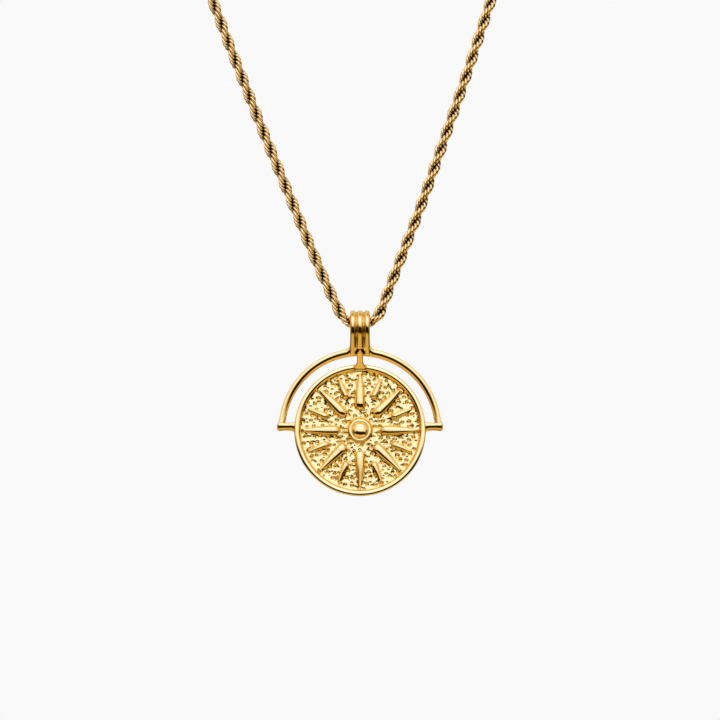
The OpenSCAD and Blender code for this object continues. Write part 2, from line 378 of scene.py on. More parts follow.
def makeGoldTone(grain):
    # The colour goes from light to deep by the painted shade plus a drift over a few millimetres, the
    # roughness is polish + wear times the drift, and the scratches are a fine noise
    group = bpy.data.node_groups.new("goldTone", "ShaderNodeTree")
    addSockets(group, "INPUT", {
        "Light gold": "Color", "Deep gold": "Color", "Depth": "Float",
        "Drift size": "Float", "Polish": "Float", "Wear": "Float",
    })
    addSockets(group, "OUTPUT", {"Colour": "Color", "Roughness": "Float", "Scratches": "Float"})
    given = group.nodes.new("NodeGroupInput").outputs
    made = group.nodes.new("NodeGroupOutput")
    place = addNode(group, "TexCoord", {}).outputs["Object"]
    drift = addNode(group, "TexNoise", {
        "Vector": place, "Scale": given["Drift size"], "Detail": grain["driftDetail"],
    }).outputs[0]
    fine = addNode(group, "TexNoise", {
        "Vector": place, "Scale": grain["scratchScale"], "Detail": grain["scratchDetail"],
    }).outputs[0]
    spread = addNode(group, "MapRange", {
        "Value": drift,
        "From Min": grain["driftFrom"],
        "From Max": grain["driftTo"],
        "To Max": grain["driftShare"],
    }).outputs["Result"]
    total = mathNode(group, "ADD", spread, given["Depth"], clamp=True)
    feed(group, made, {
        "Colour": mixNode(group, total, given["Light gold"], given["Deep gold"]),
        "Roughness": mathNode(group, "MULTIPLY_ADD", drift, given["Wear"], given["Polish"]),
        "Scratches": fine,
    })
    return group


def makeGold(name, tone, look, grain):
    # Polished metal with the look's tone; the depth attribute holds painted shade, and a mesh without it
    # gets none
    material = bpy.data.materials.new(name)
    material.use_nodes = True
    tree = material.node_tree
    depth = addNode(tree, "Attribute", {})
    depth.attribute_name = "depth"
    group = tree.nodes.new("ShaderNodeGroup")
    group.node_tree = tone
    feed(tree, group, {"Depth": depth.outputs["Fac"]} | look["tone"])
    bump = addNode(tree, "Bump", {
        "Strength": look["scratch"],
        "Distance": grain["scratchHeight"],
        "Height": group.outputs["Scratches"],
    })
    feed(tree, tree.nodes["Principled BSDF"], {
        "Metallic": 1,
        "Specular Tint": grain["grazingTint"] + (1,),
        "Base Color": group.outputs["Colour"],
        "Roughness": group.outputs["Roughness"],
        "Normal": bump.outputs["Normal"],
    })
    return material


# Drift size is in waves to the metre, and the drift adds up to Wear to the roughness Polish
# Deep gold is the painted shade's colour, and also the far end of the drift
goldLooks = {
    "castGold": {"scratch": 0.1, "tone": {
        "Light gold": (0.96, 0.70, 0.29, 1), "Deep gold": (0.20, 0.08, 0.012, 1),
        "Drift size": 350.0, "Polish": 0.03, "Wear": 0.05,
    }},
    "fieldGold": {"scratch": 0.12, "tone": {
        "Light gold": (0.98, 0.76, 0.35, 1), "Deep gold": (0.82, 0.50, 0.09, 1),
        "Drift size": 500.0, "Polish": 0.04, "Wear": 0.06,
    }},
    "wireGold": {"scratch": 0.2, "tone": {
        "Light gold": (1.0, 0.77, 0.40, 1), "Deep gold": (0.05, 0.020, 0.006, 1),
        "Drift size": 900.0, "Polish": 0.07, "Wear": 0.06,
    }},
}
goldTone = makeGoldTone(goldGrain)
golds = {name: makeGold(name, goldTone, look, goldGrain) for name, look in goldLooks.items()}
print("golds mixed")

# Compass rays: long and short, with a flat top, rounded sides, blunt inner ends and pointed tips
rays = {
    "pairs": 8,
    "rise": 0.6,
    "foot": 0.5,  # the field's height in front of the arch's plane
    "sunk": 0.3,
    "longStart": 3.5,
    "longTip": 9.5,
    "longWidth": 1.44,
    "shortStart": 5.75,
    "shortTip": 9.25,
    "shortWidth": 0.82,
    "sideTurns": [(0, 0), (0.14, 3), (0.22, 7), (0.60, 18), (0.76, 42), (1, 74)],
    "noseTurns": [(0, 0), (0.08, 6), (0.66, 18), (0.84, 50), (1, 80)],
    "noseLength": 0.75,  # as a share of the width
    "rows": 52,
    "halfSides": 12,
    "leaf": [(0, 0.44), (0.2, 0.5), (0.4, 0.47), (0.7, 0.31), (1, 0.06)],  # half width along it, in widths
    "bluntLength": 0.34,  # in widths
    "leastHalf": 0.04,
    "noseRows": 40,
    "noseFall": 0.8,  # how much of its rise a ray loses at its inner end
    "tipFall": 0.22,  # and towards its tip
    "tipFallFrom": 0.3,
    "sideFall": 0.85,  # how much of the rise its turned sides may take
    "tuck": 0.97,  # half width below the field, as a share of the half width
}


def rayPlaces(size):
    # Start, tip, width and direction of each ray, long and short by turns
    step = math.pi / size["pairs"]
    places = []
    for k in range(size["pairs"]):
        turn = math.pi / 2 + 2 * k * step
        places.append((size["longStart"], size["longTip"], size["longWidth"], turn))
        places.append((size["shortStart"], size["shortTip"], size["shortWidth"], turn + step))
    return places


def rayHalf(size, s, length, width):
    # Along the ray the half width follows a leaf: blunt, widest in the inner third, then a straight taper
    blunt = quarterRound(unit(s * length / (size["bluntLength"] * width)))
    half = width * curveThrough(*zip(*size["leaf"]), s)
    return half * np.maximum(blunt, size["leastHalf"])


def rayGap(size, right, up):
    # Distance to the nearest ray: how far a point lies past its ends and outside its half width
    gap = np.full(right.shape, np.inf)
    for start, tip, width, turn in rayPlaces(size):
        along = right * math.cos(turn) + up * math.sin(turn)
        across = np.abs(up * math.cos(turn) - right * math.sin(turn))
        half = rayHalf(size, unit((along - start) / (tip - start)), tip - start, width)
        past = np.maximum(np.maximum(start - along, along - tip), 0)
        gap = np.minimum(gap, np.hypot(past, np.maximum(across - half, 0)))
    return gap


# Medallion: plate, raised rim, pitted field and domed hub in one closed surface
medallion = {
    "radius": 11.1,
    "rimWidth": 0.94,
    "rimRise": 0.6,
    "rimOuter": 0.46,  # from the rim's crest out to its edge
    "outerTurns": [(0, 0), (0.03, 6), (0.48, 16), (0.62, 38), (1, 86)],
    "innerTurns": [(0, 0), (0.03, 6), (0.48, 16), (0.6, 36), (0.85, 56), (1, 80)],
    "filletRise": 0.11,  # where the field runs up to the rays and the rim
    "filletReach": 0.19,
    # How far from the feet of the rays and the hub the painted shade reaches
    "filletShadeReach": 0.24,
    "fieldFront": 0.5,  # in front of the arch's plane
    "back": -0.8,
    "backChamfer": 0.3,
    "domeRadius": 1.4,
    "domeRise": 1.5,
    "domeTurns": [(0, 0), (0.12, 5), (0.47, 17), (0.65, 34), (0.86, 58), (1, 80)],
    "beadHalf": 0.24,
    "beadCrown": 0.11,
    "beadMiddle": 1.65,
    "beadRise": 0.7,
    "hubRadius": 2.08,
    "columns": 600,
    "fieldRows": 92,
    "pitSeed": 7,
    "pits": [  # spacing, depth and radius from and to
        (1.12, 0.11, 0.20, 0.21, 0.34),
        (0.95, 0.03, 0.08, 0.11, 0.20),
    ],
    "pitRows": 0.866,  # distance from row to row of pits, in spacings
    "pitJitter": 0.3,  # in spacings
    "pitStretch": 1.35,
    "pitMargin": 1.0,  # no pit closer to the edge
    "pitFullShade": 0.2,  # a pit this deep gets the full painted shade
    "rayClear": 0.28,  # the pits fade out this close to rays and rim
    "hubClear": 0.3,
    "swell": 0.008,
    "swellWaves": [(4.1, 2.3, 0), (-4.6, 3.1, 1), (1.1, -5.3, 2), (2.1, 1.3, 0)],  # right, up, start
    "domeRows": 20,
    "beadRows": 12,
    "beadTurn": (188, 5),  # degrees round the bead
    "footShares": (0.2, 0.45, 0.7, 0.9),  # rows down the slope outside it
    "rimRows": 12,
    "seams": (0.03, 0.02, 0.005),  # the last rows before the rim lie this far inside it
    "seamRise": 0.06,
    "edgeTop": 0.9,  # in front of the back
    "edgeSoft": 0.03,
    "backSeam": 0.04,
    "backRings": (8.0, 4.0, 1.0, 0.3),
    "postHalf": 0.95,  # where the rim sinks into the post's foot
    "postSink": 0.9,
}


def pitField(size, right, up):
    # Sum of smooth pits on jittered grid points: minus depth times exp(-(distance / radius)^4), each a
    # turned oval, on a swell of a few crossing waves
    rng = np.random.default_rng(size["pitSeed"])
    reach = size["radius"]
    jitter = size["pitJitter"]
    total = np.zeros(right.shape, np.float32)
    for step, shallow, deep, small, large in size["pits"]:
        rowStep = step * size["pitRows"]
        a, b = np.meshgrid(np.arange(-reach, reach, step), np.arange(-reach, reach, rowStep))
        a = a + np.where(np.arange(a.shape[0]) % 2, step / 2, 0)[:, None]
        seeds = np.stack([a.ravel(), b.ravel()], 1)
        seeds = seeds + rng.uniform(-jitter, jitter, seeds.shape) * step
        seeds = seeds[np.hypot(seeds[:, 0], seeds[:, 1]) < reach - size["pitMargin"]]
        count = len(seeds)
        depth = rng.uniform(shallow, deep, count)
        width = rng.uniform(small, large, count)
        stretch = rng.uniform(1.0, size["pitStretch"], count)
        turn = rng.uniform(0, np.pi, count)
        for first in range(0, count, 60):  # whole grids, sixty pits at a time
            part = slice(first, first + 60)
            dx = right[..., None] - seeds[part, 0]
            dy = up[..., None] - seeds[part, 1]
            along = dx * np.cos(turn[part]) + dy * np.sin(turn[part])
            across = dy * np.cos(turn[part]) - dx * np.sin(turn[part])
            q = (along / (width[part] * stretch[part])) ** 2 + (across / width[part]) ** 2
            total -= (depth[part] * np.exp(-q ** 2)).sum(-1).astype(np.float32)
    swell = sum(np.sin(a * right + b * up + start) for a, b, start in size["swellWaves"])
    return total + size["swell"] * swell


def medallionProfile(size):
    # Each row's radius and front height, from the dome's top over bead, field and rim to the middle of the
    # back, and which rows are the field's and the rim's
    front = size["fieldFront"]
    out, drop, flat = turnedEdge(size["domeTurns"], size["domeRows"])
    domeR = size["domeRadius"] * out[1:]
    domeF = front + size["domeRise"] - size["domeRadius"] * flat * drop[1:]
    beadTurn = np.radians(np.linspace(*size["beadTurn"], size["beadRows"]))
    beadR = size["beadMiddle"] + size["beadHalf"] * np.cos(beadTurn)
    beadF = front + size["beadRise"] - size["beadCrown"] * (1 - np.sin(beadTurn))
    footT = np.array(size["footShares"])
    footR = beadR[-1] + (size["hubRadius"] - beadR[-1]) * footT
    footF = front + (beadF[-1] - front) * (1 - footT) ** 1.4
    rimIn = size["radius"] - size["rimWidth"]
    fieldR = np.linspace(size["hubRadius"], rimIn - size["seams"][0], size["fieldRows"])
    outR, outDrop, outFlat = turnedEdge(size["outerTurns"], size["rimRows"])
    inR, inDrop, inFlat = turnedEdge(size["innerTurns"], size["rimRows"])
    rimOuter = size["rimOuter"]
    rimInner = size["rimWidth"] - rimOuter
    rimR = size["radius"] - rimOuter + np.concatenate([-rimInner * inR[::-1], rimOuter * outR[1:]])
    rimFall = np.concatenate([rimInner * inFlat * inDrop[::-1], rimOuter * outFlat * outDrop[1:]])
    seamF = front + size["filletRise"] + np.array([0, size["seamRise"]])
    chamfer = size["backChamfer"]
    soft = size["edgeSoft"]
    edgeR = size["radius"] - np.array([0, 0, soft, chamfer - soft, chamfer, chamfer + size["backSeam"]])
    edgeF = size["back"] + np.array([size["edgeTop"], chamfer, chamfer - soft, soft, 0, 0])
    backR = np.array(size["backRings"])
    seamR = rimIn - np.array(size["seams"][1:])
    r = np.concatenate([domeR, beadR, footR, fieldR, seamR, rimR, edgeR, backR])
    f = np.concatenate([
        domeF, beadF, footF, np.full(len(fieldR), front), seamF, front + size["rimRise"] - rimFall, edgeF,
        np.full(len(backR), size["back"]),
    ])
    fieldStart = len(domeR) + len(beadR) + len(footR)
    field = slice(fieldStart, fieldStart + len(fieldR))
    rim = slice(field.stop, field.stop + len(seamF) + len(rimR))
    return r, f, field, rim


def makeMedallion(size):
    # Each row of the profile goes round the disc's middle. The field gets its pits and runs up to the
    # rays and the rim by filletRise exp(-(gap / filletReach)^1.5), and the rim sinks into the post's foot
    r, f, field, rim = medallionProfile(size)
    front = size["fieldFront"]
    angle = roundAngles(size["columns"])
    right = r[:, None] * np.cos(angle)
    up = r[:, None] * np.sin(angle)
    height = np.repeat(f[:, None], size["columns"], 1)
    rimGap = (size["radius"] - size["rimWidth"] - r[field])[:, None]
    gap = np.minimum(rayGap(rays, right[field], up[field]), rimGap)
    hubGap = (r[field] - size["hubRadius"])[:, None]
    pits = pitField(size, right[field], up[field])
    pits = pits * ease(hubGap / size["hubClear"]) * ease(gap / size["rayClear"])
    height[field] += pits + size["filletRise"] * np.exp(-(gap / size["filletReach"]) ** 1.5)
    underPost = np.where(up[rim] > 0, np.exp(-(right[rim] / size["postHalf"]) ** 6), 0)
    height[rim] -= size["postSink"] * underPost * np.maximum(height[rim] - front, 0)
    # Painted shade: darker gold in the pits, at the feet of the rays and the hub, and on the rim under the
    # post's foot
    low = np.zeros(height.shape)
    foot = np.exp(-(np.minimum(gap, hubGap) / size["filletShadeReach"]) ** 2)
    low[field] = np.maximum(unit(-pits / size["pitFullShade"]), foot)
    low[rim] = underPost
    grid = np.stack([right, up, height], -1)
    points, faces = closedShell(grid)
    piece = makePiece("medallion", toFrame(points), faces, golds["fieldGold"], *pendantRow)
    markPaintedShade(piece, low.ravel())


makeMedallion(medallion)


def rayShell(size, start, tip, width, turn):
    # Across the ray a flat top turns down into steep sides, and at the inner end it falls in the same way
    s = 0.5 - 0.5 * np.cos(np.linspace(0, np.pi, size["rows"]))
    length = tip - start
    half = rayHalf(size, s, length, width)
    out, drop, flat = turnedEdge(size["noseTurns"], size["noseRows"])
    fromNose = unit(s * length / (size["noseLength"] * width))
    noseFall = size["noseFall"] * np.interp(1 - fromNose, out, drop)
    tipFall = size["tipFall"] * ease((s - size["tipFallFrom"]) / (1 - size["tipFallFrom"]))
    lift = size["rise"] * (1 - noseFall) * (1 - tipFall)
    out, drop, flat = turnedEdge(size["sideTurns"], size["halfSides"])
    q = np.concatenate([-out[::-1], out[1:], [size["tuck"], -size["tuck"]]])
    fall = np.concatenate([drop[::-1], drop[1:], [1, 1]])
    depth = np.minimum(half * flat, size["sideFall"] * lift)
    across = half[:, None] * q
    high = size["foot"] + lift[:, None] - depth[:, None] * fall
    high[:, -2:] = size["foot"] - size["sunk"]
    along = start + s[:, None] * length + 0 * across
    right = along * math.cos(turn) - across * math.sin(turn)
    up = along * math.sin(turn) + across * math.cos(turn)
    return closedShell(np.stack([right, up, high], -1))


def makeRays(size):
    points, faces = joinShells([rayShell(size, *place) for place in rayPlaces(size)])
    makePiece("compass_rays", toFrame(points), faces, golds["castGold"], *pendantRow)


makeRays(rays)

# Arch, pins, post and bail
frameWork = {
    "outerTurns": [(0, 0), (0.04, 5), (0.5, 17), (0.66, 44), (1, 88)],
    "innerTurns": [(0, 0), (0.03, 6), (0.40, 16), (0.5, 34), (0.84, 56), (1, 88)],
    "archCrest": 0.34,  # how far out the crest lies from the wire's middle, in half widths
    "pinCrest": 0.36,
    "archRadius": 13.17,
    "wire": 0.56,  # half the arch's thickness at its ends
    "topGrowth": 0.11,  # how much thicker it is at the top
    "endReach": 0.3,  # how far its ends bend outwards into the pins' heads
    "endBend": 2.2,
    "pinHeight": 0.60,
    "pinStart": 10.7,
    "pinTip": 14.03,
    "pinProfile": [  # distance from its start, half thickness
        (0, 1.10), (0.25, 1.00), (0.45, 0.86), (0.7, 0.75), (1.0, 0.70),
        (1.4, 0.67), (1.8, 0.67), (2.2, 0.69), (2.6, 0.75), (2.85, 0.78),
    ],
    "pinDepth": 0.74,  # at most, to the front and to the back
    "pinDrop": 0.16,  # how much lower it starts than it ends
    "pinDropReach": 1.1,
    "postTurns": [(0, 0), (0.6, 4), (0.8, 40), (1, 90)],
    "postFront": (0.62, 1.64),  # at the foot and at the head
    "postBack": -0.1,
    "postHalf": 0.53,
    "postStart": 10.16,
    "postTop": 13.27,
    "postFlare": 0.42,  # how much the foot spreads to each side
    "flareFrom": 0.5,
    "flareReach": 1.05,
    "headLean": 0.44,
    "headDrop": 0.03,
    "footSink": 0.3,
    "footReach": 0.35,
    "bailHalf": 1.67,
    "bailRadius": 2.25,
    "bailBow": 5.6,  # radius of the bend from the eye into the legs
    "bailWall": 0.8,
    "slant": 20.6,
    "eyeHeight": 17.99,
    "eyeFloor": 14.79,
    "bailFoot": 12.6,
    "ribHalf": 0.38,
    "ribCrown": 0.10,
    "grooveWidth": 0.5,
    "grooveDepth": 0.26,
    "grooveFoot": 13.2,
    "notchRadius": 0.73,  # the recess round the post's head, painted darker as shade
    "notchHalf": 0.17,
    "notchDepth": 0.25,
    "fillet": 1.1,
    "archRows": 260,
    "archEndRows": 12,
    "archEndGrowth": 0.08,
    "leastEnd": 0.01,  # least thickness at its tips, as a share
    "pinRows": 50,
    "postRows": 44,
    "legEnd": 0.36,  # shares of the way from foot to eye's top where leg and bend end
    "bendEnd": 0.6,
    "floorFrom": 0.9,  # share of the bail's outline where its floor starts
    "bailRows": 145,
    "floorRows": 7,
    "bailColumns": 77,
    "edgeDrop": 0.24,  # the outer ribs round off this far at the bail's sides
    "edgeReach": 0.32,
    "grooveRun": 0.35,  # the grooves and the recess run out over this height
    # How much painted shade the grooves get
    "grooveShade": 0.3,
    "mouth": [(0, 0.26), (0.03, 0.12), (0.15, 0.03), (0.3, 0.0)],  # from the side inwards, how much wider
    "filletDepth": 1.0,
    "filletRows": 36,
    "filletEnds": (0.12, 0.06),  # radians that it runs on into the bail and the arch
}
sectionRows = 14  # from a wire's crest to either side, and round its back
headTurn = np.linspace(0, np.pi / 2, 14)[1:]  # from a bar's side to the tip of its round end
leastHead = 0.02


def wireSection(outer, inner, crest):
    # Across a wire of half width 1: a crest in front, off the middle, that turns down to both sides by
    # its own turns, and half a circle behind
    out, drop, flat = turnedEdge(outer, sectionRows)
    outFront = 1 - (1 - crest) * flat * drop
    into, innerDrop, innerFlat = turnedEdge(inner, sectionRows)
    innerFront = 1 - (1 + crest) * innerFlat * innerDrop
    back = np.linspace(0, np.pi, sectionRows + 2)[1:-1]
    inwards = (crest - (1 + crest) * into)[:0:-1]
    side = np.concatenate([crest + (1 - crest) * out, np.cos(back), inwards])
    front = np.concatenate([outFront, -np.sin(back), innerFront[:0:-1]])
    return side, front


def tubeShell(path, side, halfSide, halfFront, section):
    # A section carried along a path: path + halfSide a side + halfFront b forwards, for its points (a, b)
    forwards = np.array([0.0, 0.0, 1.0])
    side = np.broadcast_to(side, path.shape)
    a = halfSide[:, None, None] * section[0][None, :, None] * side[:, None, :]
    b = halfFront[:, None, None] * section[1][None, :, None] * forwards
    return closedShell(path[:, None, :] + a + b)


def archShell(size):
    # A ridged wire carried round half a circle, thicker at the top; its ends bend outwards and grow
    wire = size["wire"]
    low = math.asin((size["pinHeight"] - wire / 2) / size["archRadius"])
    turn = np.linspace(low, math.pi - low, size["archRows"])
    ends = np.linspace(0, np.pi / 2, size["archEndRows"])
    ends = low + (1 - np.cos(ends)) * wire / size["archRadius"]
    turn = turn[(turn > ends[-1]) & (turn < math.pi - ends[-1])]
    turn = np.concatenate([ends[:-1], turn, (math.pi - ends[:-1])[::-1]])
    gone = np.minimum(turn - low, math.pi - low - turn) * size["archRadius"]
    roundEnd = np.maximum(quarterRound(unit(gone / wire)), size["leastEnd"])
    near = unit(1 - gone / size["endBend"]) ** 2
    thick = wire + size["topGrowth"] * np.sin(turn) ** 1.5 + size["archEndGrowth"] * near
    thick = thick * roundEnd
    outwards = np.stack([np.cos(turn), np.sin(turn), 0 * turn], 1)
    path = outwards * (size["archRadius"] + size["endReach"] * near)[:, None]
    section = wireSection(size["outerTurns"], size["innerTurns"], size["archCrest"])
    return tubeShell(path, outwards, thick, thick, section)


def pinShell(size, sign):
    # A ridged bar carried outwards: flared at the rim, waisted in the gap, bulging outside the arch
    x, half = np.array(size["pinProfile"]).T
    at = np.linspace(0, x[-1], size["pinRows"])
    thick = curveThrough(x, half, at)
    tip = size["pinTip"] - size["pinStart"] - x[-1]
    at = np.concatenate([at, x[-1] + tip * np.sin(headTurn)])
    thick = np.concatenate([thick, half[-1] * np.maximum(np.cos(headTurn), leastHead) ** 0.7])
    lower = -size["pinDrop"] * (1 - ease(at / size["pinDropReach"]))
    path = np.stack([sign * (size["pinStart"] + at), size["pinHeight"] + lower, 0 * at], 1)
    section = wireSection(size["outerTurns"], size["innerTurns"], size["pinCrest"])
    return tubeShell(path, (0.0, 1.0, 0.0), thick, np.minimum(thick, size["pinDepth"]), section)


def postShell(size):
    # A flat-faced bar carried upwards: its face leans forwards, its foot spreads over the rim and sinks
    # into it, and its head is round
    half = size["postHalf"]
    top = size["postTop"] - half - size["postStart"]
    at = np.linspace(0, top, size["postRows"])
    flare = 1 - ease((at - size["flareFrom"]) / size["flareReach"])
    head = np.maximum(np.cos(headTurn), leastHead)
    thick = np.concatenate([half + size["postFlare"] * flare ** 1.6, half * head])
    at = np.concatenate([at, top + half * np.sin(headTurn)])
    face = np.interp(at, [0, top], size["postFront"])
    face[-len(head):] += size["headLean"] * (at[-len(head):] - top) - size["headDrop"] * (1 - head)
    face = face - size["footSink"] * unit(1 - at / size["footReach"]) ** 2
    middle = (face + size["postBack"]) / 2
    path = np.stack([0 * at, size["postStart"] + at, middle], 1)
    section = wireSection(size["postTurns"], size["postTurns"], 0)
    return tubeShell(path, (1.0, 0.0, 0.0), thick, face - middle, section)


def bailOutline(size, inset, floor, t):
    # Side view as a closed line of front and up, for t from 0 to 1: up the front leg, round the bend and
    # over the eye, down the back in the same way, and along the floor
    slant = math.radians(size["slant"])
    r = size["bailRadius"] - inset
    bow = size["bailBow"] - inset
    eye = size["eyeHeight"]
    bowMiddle = size["bailRadius"] - size["bailBow"]
    legTop = np.array([bowMiddle + bow * math.cos(slant), eye - bow * math.sin(slant)])
    legFoot = np.array([legTop[0] - (legTop[1] - floor) * math.tan(slant), floor])
    legEnd = size["legEnd"]
    bendEnd = size["bendEnd"]
    floorFrom = size["floorFrom"]
    halfWay = floorFrom / 2
    rise = unit(np.minimum(t, floorFrom - t) / halfWay)  # from 0 at a foot to 1 over the eye
    line = legFoot + (legTop - legFoot) * unit(rise / legEnd)[:, None]
    bend = slant * (1 - unit((rise - legEnd) / (bendEnd - legEnd)))
    onBend = np.stack([bowMiddle + bow * np.cos(bend), eye - bow * np.sin(bend)], 1)
    over = np.pi / 2 * unit((rise - bendEnd) / (1 - bendEnd))
    onEye = np.stack([r * np.cos(over), eye + r * np.sin(over)], 1)
    line = np.where((rise > legEnd)[:, None], onBend, line)
    line = np.where((rise > bendEnd)[:, None], onEye, line)
    line[:, 0] *= np.where(t > halfWay, -1, 1)
    m = unit((t - floorFrom) / (1 - floorFrom))[:, None]
    mirrored = legFoot * np.array([-1, 1])
    return np.where(m > 0, mirrored + (legFoot - mirrored) * m, line)


def bailShell(size):
    # A closed band: across it run three rounded ribs and two grooves, round it run the outer outline and
    # the eye, and each point lies between the two outlines
    floorFrom = size["floorFrom"]
    floorWay = np.linspace(floorFrom, 1, size["floorRows"])[1:-1]
    t = np.concatenate([np.linspace(0, floorFrom, size["bailRows"]), floorWay])
    outer = bailOutline(size, 0, size["bailFoot"], t)
    inner = bailOutline(size, size["bailWall"], size["eyeFloor"], t)
    half = size["bailHalf"]
    x = np.linspace(-half, half, size["bailColumns"])
    ribHalf = size["ribHalf"]
    away = np.abs(x)
    groovePlace = unit((away - ribHalf) / size["grooveWidth"])
    groove = 1 - np.abs(2 * groovePlace - 1) ** 1.7
    sideMiddle = (half + ribHalf + size["grooveWidth"]) / 2
    sideHalf = (half - ribHalf - size["grooveWidth"]) / 2
    fromCrown = np.where(away < ribHalf, away / ribHalf, np.abs(away - sideMiddle) / sideHalf)
    crown = size["ribCrown"] * unit(fromCrown) ** 3.4
    edge = unit((away - half + size["edgeReach"]) / size["edgeReach"])
    run = ease((outer[:, 1] - size["grooveFoot"]) / size["grooveRun"])
    run = np.where(t > floorFrom, 0, run)[:, None]
    depth = crown + size["edgeDrop"] * edge ** 2.2
    depth = depth + run * (size["grooveDepth"] - size["ribCrown"]) * groove
    headUp = outer[:, 1] - (size["postTop"] - size["postHalf"])
    fromHead = np.hypot(x[None], headUp[:, None])
    notch = np.exp(-((fromHead - size["notchRadius"]) / size["notchHalf"]) ** 4)
    inFront = unit(headUp / size["grooveRun"]) * (t < floorFrom / 2)
    notch = notch * inFront[:, None]
    depth = depth + size["notchDepth"] * notch
    inwards = inner - outer
    inwards = inwards / np.linalg.norm(inwards, axis=1)[:, None]
    face = outer[:, None, :] + depth[..., None] * inwards[:, None, :]
    mouthX, mouthDepth = np.array(size["mouth"]).T
    mouthX = np.concatenate([half - mouthX, [0], (mouthX - half)[::-1]])
    mouthIn = np.concatenate([mouthDepth, [0], mouthDepth[::-1]])
    bore = inner[:, None, :] - mouthIn[None, :, None] * inwards[:, None, :]
    flat = np.concatenate([face, bore], 1)
    width = np.tile(np.concatenate([x, mouthX]), (len(t), 1))
    grid = np.stack([width, flat[..., 1], flat[..., 0]], -1)
    # Painted shade: darker gold in the recess round the post's head and down the grooves
    low = np.zeros(grid.shape[:2])
    low[:, : len(x)] = unit(notch + size["grooveShade"] * run * groove)
    return closedShell(grid, closeRows=True), low.ravel()


def filletShell(size, sign):
    # A ridged wire carried round an arc from the bail's side down into the arch's top
    wire = size["wire"] + size["topGrowth"]
    archTop = size["archRadius"] + wire
    centreX = size["bailHalf"] + size["fillet"]
    centreZ = math.sqrt((archTop + size["fillet"]) ** 2 - centreX ** 2)
    last = math.pi + math.atan2(centreZ, centreX)
    rows = size["filletRows"]
    turn = np.linspace(math.pi - size["filletEnds"][0], last + size["filletEnds"][1], rows)
    out = np.stack([np.cos(turn), np.sin(turn), 0 * turn], 1)
    path = np.array([centreX, centreZ, 0]) + (size["fillet"] + wire) * out
    k = ease(np.linspace(0, 1, rows))
    deep = size["filletDepth"] * (1 - k) + wire * k
    flip = np.array([sign, 1.0, 1.0])
    section = wireSection(size["innerTurns"], size["outerTurns"], -size["archCrest"])
    return tubeShell(path * flip, out * flip, np.full(rows, wire), deep, section)


def makeFrameWork(size):
    bail, low = bailShell(size)
    pins = [pinShell(size, sign) for sign in (1, -1)]
    fillets = [filletShell(size, sign) for sign in (1, -1)]
    points, faces = joinShells([bail, archShell(size), *pins, postShell(size), *fillets])
    piece = makePiece("arch_and_bail", toFrame(points), faces, golds["castGold"], *pendantRow)
    markPaintedShade(piece, low)


makeFrameWork(frameWork)

# Rope chain: rings that pass through their neighbours, turned a little from each to the next
rope = {
    "pitch": 0.54,
    "turn": 29.75,  # degrees from ring to ring
    "across": 0.80,  # half the ring's width, to the middle of its wire
    "along": 0.86,  # half its length along the chain
    "wire": 0.43,
    "innerReach": 2.0,  # how much further in its inner side reaches, so that no light comes through
    "swirl": -0.28,  # each ring's own twist, against the rope's
    "shadeFrom": 0.60,  # from this far off the rope's line inwards the wire gets painted shade
    "shadeReach": 0.15,
    "ringSides": 16,
    "wireSides": 6,
    "leftPhase": 25.0,  # degrees, to match the strands near the picture's top
    "rightPhase": 94.0,
    "phaseRings": 16,  # the two phases meet over this many rings at the bail
    "routeSteps": 12000,
    "loopMiddle": (0.0, -60.0, -70.0),  # each ring's turn is counted from the side away from this point
}
nape = [
    (9, 1.3, 0), (17, 1.3, -0.2), (25, -1, -1), (32.5, -5.5, -3), (39.5, -11, -6), (45, -17, -9),
    (49.5, -23.5, -12.5),
]
leftHidden = [
    (-53, -30, -16.5), (-56, -37, -20.5), (-58, -44, -24.5), (-59.5, -51, -28.5), (-60, -58.5, -33),
    (-60, -65.5, -37.5), (-59, -72.5, -42), (-58, -79.5, -47), (-56, -86, -52), (-53.5, -92, -57.5),
    (-51, -98, -63.5), (-48, -103, -69.5), (-44.5, -107.5, -76), (-41, -111.5, -82.5),
    (-37.5, -114.5, -89.5), (-34.2, -117, -97), (-31, -118.5, -104.5), (-28, -119.5, -112),
]
bothArms = [  # right and up, on the pendant's plane
    (-24.8, -120), (-22.15, -127), (-19.5, -133.8), (-16.8, -140.7), (-14.05, -147.5), (-11.25, -154.3),
    (-8.5, -161), (-5.5, -168), (-3.8, -171.5), (-3.05, -172.9), (-2.5, -173.5), (-1.9, -173.9),
    (-1.2, -174), (0, -174), (1.2, -174), (1.9, -173.9), (2.5, -173.5), (3.05, -172.9), (3.7, -171.5),
    (5.05, -168), (7.75, -161), (10.3, -154.3), (12.7, -147.5), (15.05, -140.7), (17.45, -133.8),
    (19.7, -127), (22, -120),
]
rightHidden = [
    (24.8, -119.5, -112), (27.8, -118.5, -104), (31, -117, -96.5), (34.5, -114.5, -89.5),
    (38, -111.5, -82.5), (42, -107.5, -75.5), (45.5, -103, -69.5), (49, -98, -63.5),
    (52.5, -92.5, -58), (55, -86.5, -52.5), (57, -80, -47.5), (59, -73, -42.5), (59.5, -66, -38),
    (60, -59, -33.5), (59.5, -51.5, -29), (58, -44.5, -24.5), (56, -37, -20.5), (53.5, -30, -16.5),
]
ropeRoute = [(-x, y, z) for x, y, z in nape] + leftHidden
ropeRoute += [(x, discCentre[1], z) for x, z in bothArms] + rightHidden + nape[::-1]
bailSeat = (0, -120, -174)


